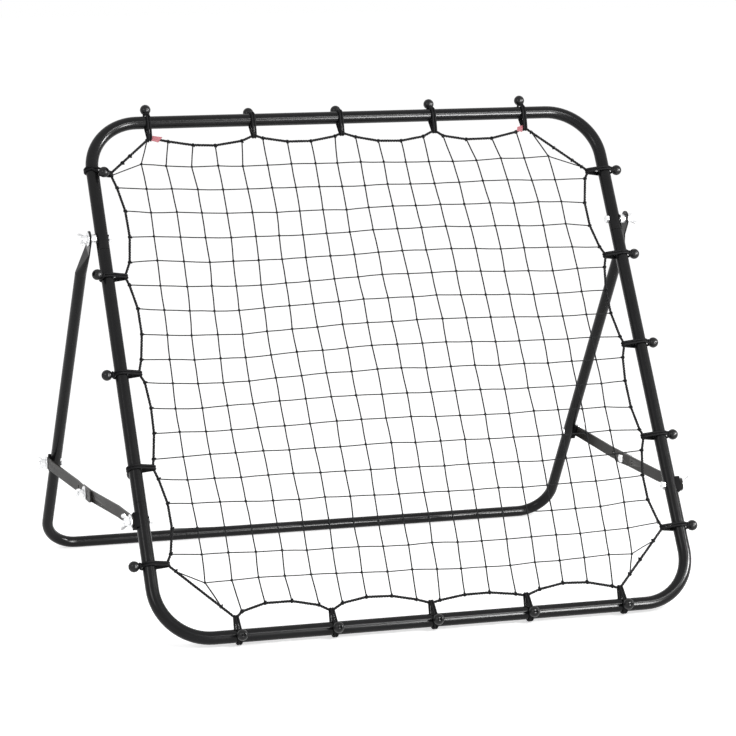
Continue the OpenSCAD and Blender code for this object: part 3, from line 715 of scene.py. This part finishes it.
def build_bungees(side, ball, stopper):
    """The five bungees of a side: their loops, their balls and the cord ends in these."""
    lines, balls, stoppers = [], bmesh.new(), bmesh.new()
    for along, turn in zip(bungee_places(side), TURNS[side]):
        place = bungee_frame(side, along)
        # a ball that is turned far round sits against a straight run, so it stands a little further out
        past = max(0.0, math.radians(abs(turn)) - BELT_END)
        reach = BALL_REACH / math.cos(past)
        ball_at = Matrix.Rotation(-math.radians(turn), 4, "X") @ Matrix.Translation((0, 0, reach))
        line = loop_line(turn)
        if turn > 90:
            line = [crept(p, ball_at.translation) for p in line]
            ball_at = Matrix.Translation((BALL_LOW, 0, 0)) @ ball_at
        lines.append([place @ p for p in line])
        join_copy(balls, ball, place @ ball_at)
        join_copy(stoppers, stopper, place @ ball_at)
    make_piece(f"elastic_loops_{side}", cords(lines, CORD_R, 10), "elastic_cord", "front_frame",
               [f"bungee_cords_{side}"], ON_FRONT, 80)
    make_piece(f"cord_ends_{side}", stoppers, "elastic_cord", "front_frame", [], ON_FRONT, 80)
    make_piece(f"moulded_balls_{side}", balls, "ball_plastic", "front_frame", [f"bungee_balls_{side}"],
               ON_FRONT, 35)


ball_work = ball_shape()
stopper_work = cord_stopper()
for side in ("top", "bottom", "left", "right"):
    build_bungees(side, ball_work, stopper_work)
ball_work.free()
stopper_work.free()


# ---------------------------------------------------------------- marker tags
TAG_T = 0.45
TAG_OFF = 3.15               # in front of the rope's middle
TAGS = (  # the corners of each, from the lower left and round
    ("left", ((-358.3, 901.5), (-346.5, 897.5), (-337.5, 907.5), (-359.9, 911.5))),
    ("right", ((317, 900), (327, 898), (331.4, 912), (319, 908))),
)


def tag_shape(corners):
    """A short piece of tape that hangs askew from the rope, with a slight wave along its lower edge."""
    tag = bmesh.new()
    bmesh.ops.create_grid(tag, x_segments=10, y_segments=8, size=0.5)
    low_left, low_right, high_right, high_left = (Vector(c) for c in corners)
    for v in tag.verts:
        across, up = v.co.x + 0.5, v.co.y + 0.5
        flat = low_left.lerp(low_right, across).lerp(high_left.lerp(high_right, across), up)
        v.co = lifted(flat, -TAG_OFF + 0.25 * math.sin(9 * across) * (1 - up))
    bmesh.ops.recalc_face_normals(tag, faces=tag.faces)
    bmesh.ops.solidify(tag, geom=tag.faces, thickness=TAG_T)
    return tag


for side, corners in TAGS:
    make_piece(f"tape_tag_{side}", tag_shape(corners), "marker_tag", "front_frame", [f"net_tag_{side}"],
               ON_FRONT, 60)


# ---------------------------------------------------------------- eased copies of flat parts
def merged_copy(name):
    """A node's mesh in millimetres, with its loose triangles joined and its flat faces made whole."""
    work = bmesh.new()
    work.from_mesh(nodes[name].data)
    bmesh.ops.scale(work, vec=(1 / MM,) * 3, verts=work.verts)
    bmesh.ops.remove_doubles(work, verts=work.verts, dist=0.002)
    bmesh.ops.dissolve_limit(work, angle_limit=math.radians(1), verts=work.verts, edges=work.edges)
    return work


def ease(work, width, segments, above, below=181):
    """Bevels the edges whose faces meet at more than one angle and less than another, in degrees."""
    chosen = [e for e in work.edges if len(e.link_faces) == 2
              and math.radians(above) < e.calc_face_angle(0) < math.radians(below)]
    bmesh.ops.bevel(work, geom=chosen, offset=width, offset_type="OFFSET", affect="EDGES", segments=segments,
                    profile=0.5, material=-1, clamp_overlap=True)


def body_of_node(name):
    """The body that a node belongs to."""
    return next(b for b, members in frame["record"]["behaviour"]["bodies"].items() if name in members)


SIDES = (("left", -1), ("right", 1))
for side, _ in SIDES:
    for kind in ("front", "rear"):
        name = f"{kind}_stay_{side}"
        bar = merged_copy(name)
        # the sideways step is bent round a tool, so its folds are round
        ease(bar, 5.0, 4, 8, 40)
        ease(bar, 0.45, 2, 50)
        make_piece(f"{kind}_stay_bar_{side}", bar, "stay_paint", body_of_node(name), [name])
        name = f"{kind}_stay_saddle_{side}"
        block = merged_copy(name)
        ease(block, 0.9, 3, 60)
        make_piece(f"{kind}_saddle_block_{side}", block, "saddle_plastic", body_of_node(name), [name])
    for kind in ("pivot", "front_stay", "rear_stay", "elbow"):
        name = f"{kind}_washer_{side}"
        disc = merged_copy(name)
        ease(disc, 0.35, 2, 60)
        make_piece(f"{kind}_flat_washer_{side}", disc, "zinc_hardware", body_of_node(name), [name])


# ---------------------------------------------------------------- bolts and wing nuts
BOLT_R = 4.0
THREAD = 1.25                # one turn of its thread
HEAD_T, HEAD_AF = 5.3, 13.0  # a head's thickness, and its width across the flats
BOSS_H = 9.0                 # of a wing nut
BOLTS = (  # name, place, and along x the head's seat, the end and the start of the thread
    ("pivot_bolt", PIVOT, 457.8, 506.7, 493.0), ("front_stay_bolt", FRONT_BOLT, 457.8, 502.6, 489.0),
    ("rear_stay_bolt", REAR_BOLT, 487.9, 528.7, 515.0),
)
ELBOW_SEAT = 496.9           # of the elbow bolt's head
ELBOW_STUB = (496.4, 499.9)  # the shank that stays with its head
ELBOW_ROD = (500.1, 517.5, 504.0)  # its other half: where it begins and ends, and the start of the thread
NUTS = (  # name, place, how far it is turned, seat
    ("pivot_wing_nut", PIVOT, -60, 494.7), ("front_stay_wing_nut", FRONT_BOLT, 20, 490.6),
    ("rear_stay_wing_nut", REAR_BOLT, 5, 516.7), ("elbow_wing_nut", ELBOW, 50, 505.5),
)


def axle_place(point, tilt, side):
    """A frame whose z runs out along a bolt on one side of the object."""
    place = Matrix.Translation((0, *point)) @ Matrix.Rotation(math.radians(tilt), 4, "X")
    place = place @ Matrix.Rotation(math.radians(90), 4, "Y")
    return Matrix.Diagonal((side, 1, 1, 1)) @ place


def hex_head(work, seat):
    """A hexagon head below its seat, with the corners of its outer face turned away."""
    corner = HEAD_AF / 2 / math.cos(math.radians(30))
    place = Matrix.Translation((0, 0, seat - HEAD_T / 2))
    made = bmesh.ops.create_cone(work, cap_ends=True, segments=6, radius1=corner, radius2=corner,
                                 depth=HEAD_T, matrix=place)
    rim = [e for e in {e for v in made["verts"] for e in v.link_edges}
           if all(abs(v.co.z - (seat - HEAD_T)) < 1e-4 for v in e.verts)]
    bmesh.ops.bevel(work, geom=rim, offset=1.1, offset_type="OFFSET", affect="EDGES", segments=2, profile=0.5,
                    material=-1, clamp_overlap=True)


def threaded_rod(work, begin, end, thread_from):
    """A rod with a chamfered end and a rolled thread on its outer part."""
    core = [(0, begin), (BOLT_R - 0.05, begin), (BOLT_R - 0.05, thread_from),
            (BOLT_R - 0.7, thread_from + 0.6), (BOLT_R - 0.7, end - 0.7), (BOLT_R - 1.3, end), (0, end)]
    points = [work.verts.new((r, 0, z)) for r, z in core]
    edges = [work.edges.new(pair) for pair in zip(points, points[1:])]
    bmesh.ops.spin(work, geom=points + edges, axis=(0, 0, 1), cent=(0, 0, 0), steps=24, angle=math.tau,
                   use_merge=True)
    turns = (end - 0.9 - thread_from) / THREAD
    crest = [(BOLT_R - 0.75, -0.55), (BOLT_R - 0.05, -0.08), (BOLT_R - 0.05, 0.08), (BOLT_R - 0.75, 0.55)]
    points = [work.verts.new((r, 0, thread_from + 0.3 + z)) for r, z in crest]
    edges = [work.edges.new(pair) for pair in zip(points, points[1:])]
    steps = round(turns * 20)
    bmesh.ops.spin(work, geom=points + edges, axis=(0, 0, 1), cent=(0, 0, 0), steps=steps,
                   angle=math.tau * turns, dvec=(0, 0, THREAD * turns / steps), use_duplicate=False)


def hardware(name, shape, work, place, sharp):
    """A zinc-plated piece in place of the node of a name, which its own name follows."""
    make_piece(f"{shape}_{name}", work, "zinc_hardware", body_of_node(name), [name], place, sharp)


def bolt_piece(name, shape, work, place):
    """A finished bolt: what meets is joined, and its faces point outwards."""
    bmesh.ops.remove_doubles(work, verts=work.verts, dist=0.005)
    bmesh.ops.recalc_face_normals(work, faces=work.faces)
    hardware(name, shape, work, place, 30)


def wing_nut_shape():
    """A cast wing nut: a tapered boss with two rounded ears that lean outwards, softened by the casting."""
    nut = bmesh.new()
    boss = [(4.1, 0), (7.0, 0), (6.6, 3.0), (5.9, 6.5), (5.5, BOSS_H), (4.1, BOSS_H)]
    points = [nut.verts.new((r, 0, z)) for r, z in boss]
    edges = [nut.edges.new(pair) for pair in zip(points, points[1:] + points[:1])]
    bmesh.ops.spin(nut, geom=points + edges, axis=(0, 0, 1), cent=(0, 0, 0), steps=32, angle=math.tau,
                   use_merge=True)
    for turned in (1, -1):
        outline = [(5.0, 1.2), (7.4, 1.0), (10.0, 4.0), (13.6, 8.2)]
        outline += [(11.9 + 4.0 * math.cos(a), 10.9 + 4.0 * math.sin(a)) for a in
                    (math.radians(d) for d in (-30, 0, 30, 60, 90, 120, 150, 175))]
        outline += [(7.4, 9.6), (5.0, 8.2)]
        ear = [nut.verts.new((turned * r, -1.25, z)) for r, z in outline]
        face = nut.faces.new(ear)
        pulled = bmesh.ops.extrude_face_region(nut, geom=[face])
        moved = [v for v in pulled["geom"] if isinstance(v, bmesh.types.BMVert)]
        bmesh.ops.translate(nut, vec=(0, 2.5, 0), verts=moved)
    bmesh.ops.remove_doubles(nut, verts=nut.verts, dist=0.001)
    bmesh.ops.recalc_face_normals(nut, faces=nut.faces)
    mesh = bpy.data.meshes.new("nut")
    nut.to_mesh(mesh)
    nut.free()
    rough = bpy.data.objects.new("nut", mesh)
    bpy.context.scene.collection.objects.link(rough)
    remesh = rough.modifiers.new("cast", "REMESH")
    remesh.mode = "VOXEL"
    remesh.voxel_size = 0.5
    relaxed = rough.modifiers.new("soft", "SMOOTH")
    relaxed.factor, relaxed.iterations = 0.5, 5
    bpy.context.view_layer.update()
    cast = bpy.data.meshes.new_from_object(rough.evaluated_get(bpy.context.evaluated_depsgraph_get()))
    shape = bmesh.new()
    shape.from_mesh(cast)
    bpy.data.objects.remove(rough)
    bpy.data.meshes.remove(mesh)
    bpy.data.meshes.remove(cast)
    return shape


nut_shape = wing_nut_shape()
for side, sign in SIDES:
    for kind, point, seat, end, thread in BOLTS:
        bolt = bmesh.new()
        threaded_rod(bolt, seat - 0.5, end, thread)
        hex_head(bolt, seat)
        bolt_piece(f"{kind}_{side}", "hex", bolt, axle_place(point, 0, sign))
    head = bmesh.new()
    begin, end = ELBOW_STUB
    bmesh.ops.create_cone(head, cap_ends=True, segments=32, radius1=BOLT_R, radius2=BOLT_R, depth=end - begin,
                          matrix=Matrix.Translation((0, 0, (begin + end) / 2)))
    hex_head(head, ELBOW_SEAT)
    bolt_piece(f"elbow_bolt_head_{side}", "hex", head, axle_place(ELBOW, 0, sign))
    rod = bmesh.new()
    threaded_rod(rod, *ELBOW_ROD)
    bolt_piece(f"elbow_bolt_end_{side}", "threaded", rod, axle_place(ELBOW, 0, sign))
    for kind, point, tilt, seat in NUTS:
        nut = bmesh.new()
        join_copy(nut, nut_shape, Matrix.Translation((0, 0, seat)))
        hardware(f"{kind}_{side}", "cast", nut, axle_place(point, tilt, sign), 60)
nut_shape.free()


# ---------------------------------------------------------------- floor, world and lamps
FLOOR_GLOW = 0.57            # what the floor lacks to white, where it is only seen
WORLD_LIGHT = 0.5            # how strongly the white world lights; seen, it is at full strength


def seen_directly(tree):
    """1 where a ray comes from the camera, from a gloss or through glass, and 0 where it gathers light."""
    rays = add(tree, "ShaderNodeLightPath").outputs
    seen = rays["Is Camera Ray"]
    for kind in ("Is Glossy Ray", "Is Transmission Ray"):
        seen = add(tree, "ShaderNodeMath", {0: seen, 1: rays[kind]}, operation="MAXIMUM").outputs[0]
    return seen


def floor_material():
    """A plain white floor that the camera sees as white, with the object's shadow kept."""
    material, tree, shader = new_material("white_floor", Roughness=0.9)
    shader.inputs["Base Color"].default_value = srgb("#f4f4f4")
    shader.inputs["Specular IOR Level"].default_value = 0.0
    glow = add(tree, "ShaderNodeEmission", {"Strength": seen_directly(tree)},
               {"Color": (FLOOR_GLOW, FLOOR_GLOW, FLOOR_GLOW, 1)})
    both = add(tree, "ShaderNodeAddShader", {0: shader.outputs[0], 1: glow.outputs[0]})
    tree.links.new(both.outputs[0], tree.nodes["Material Output"].inputs["Surface"])
    return material


def lay_floor():
    """The floor under the object, 40 m square."""
    work = bmesh.new()
    bmesh.ops.create_grid(work, x_segments=1, y_segments=1, size=20)
    mesh = bpy.data.meshes.new("floor")
    work.to_mesh(mesh)
    work.free()
    mesh.materials.append(floor_material())
    floor = bpy.data.objects.new("floor", mesh)
    bpy.context.scene.collection.objects.link(floor)


def white_world():
    """A white world that is brighter to the eye and in gloss than it lights."""
    world = bpy.data.worlds.new("studio")
    world.use_nodes = True
    tree = world.node_tree
    level = add(tree, "ShaderNodeMapRange", {"Value": seen_directly(tree)},
                {"To Min": WORLD_LIGHT, "To Max": 1.0})
    backdrop = tree.nodes["Background"]
    backdrop.inputs["Color"].default_value = (1, 1, 1, 1)
    tree.links.new(level.outputs["Result"], backdrop.inputs["Strength"])
    bpy.context.scene.world = world


def lamp(name, at, aim, size, power, only_gloss=False):
    """A soft box, in metres and watts, that faces a point; it may show only in the gloss of the coats."""
    data = bpy.data.lights.new(name, "AREA")
    data.shape = "RECTANGLE"
    data.size, data.size_y = size
    data.energy = power
    made = bpy.data.objects.new(name, data)
    way = Vector(aim) - Vector(at)
    made.matrix_world = Matrix.Translation(at) @ way.to_track_quat("-Z", "Y").to_matrix().to_4x4()
    made.visible_diffuse = not only_gloss
    bpy.context.scene.collection.objects.link(made)


lay_floor()
white_world()
lamp("key", (1.7, -3.45, 2.75), (0, 0, 0.4), (1.6, 0.8), 85)
lamp("fill", (-3.2, -2.2, 2.2), (0, 0, 0.4), (1.2, 1.2), 30)
lamp("front_sheen", (1.6, -3.6, 0.66), (0, 0, 0.6), (0.8, 1.3), 230, only_gloss=True)
lamp("side_sheen", (2.6, -1.5, 1.2), (-0.42, 0.1, 0.75), (0.8, 0.6), 150, only_gloss=True)

bpy.context.scene.view_settings.view_transform = "Standard"
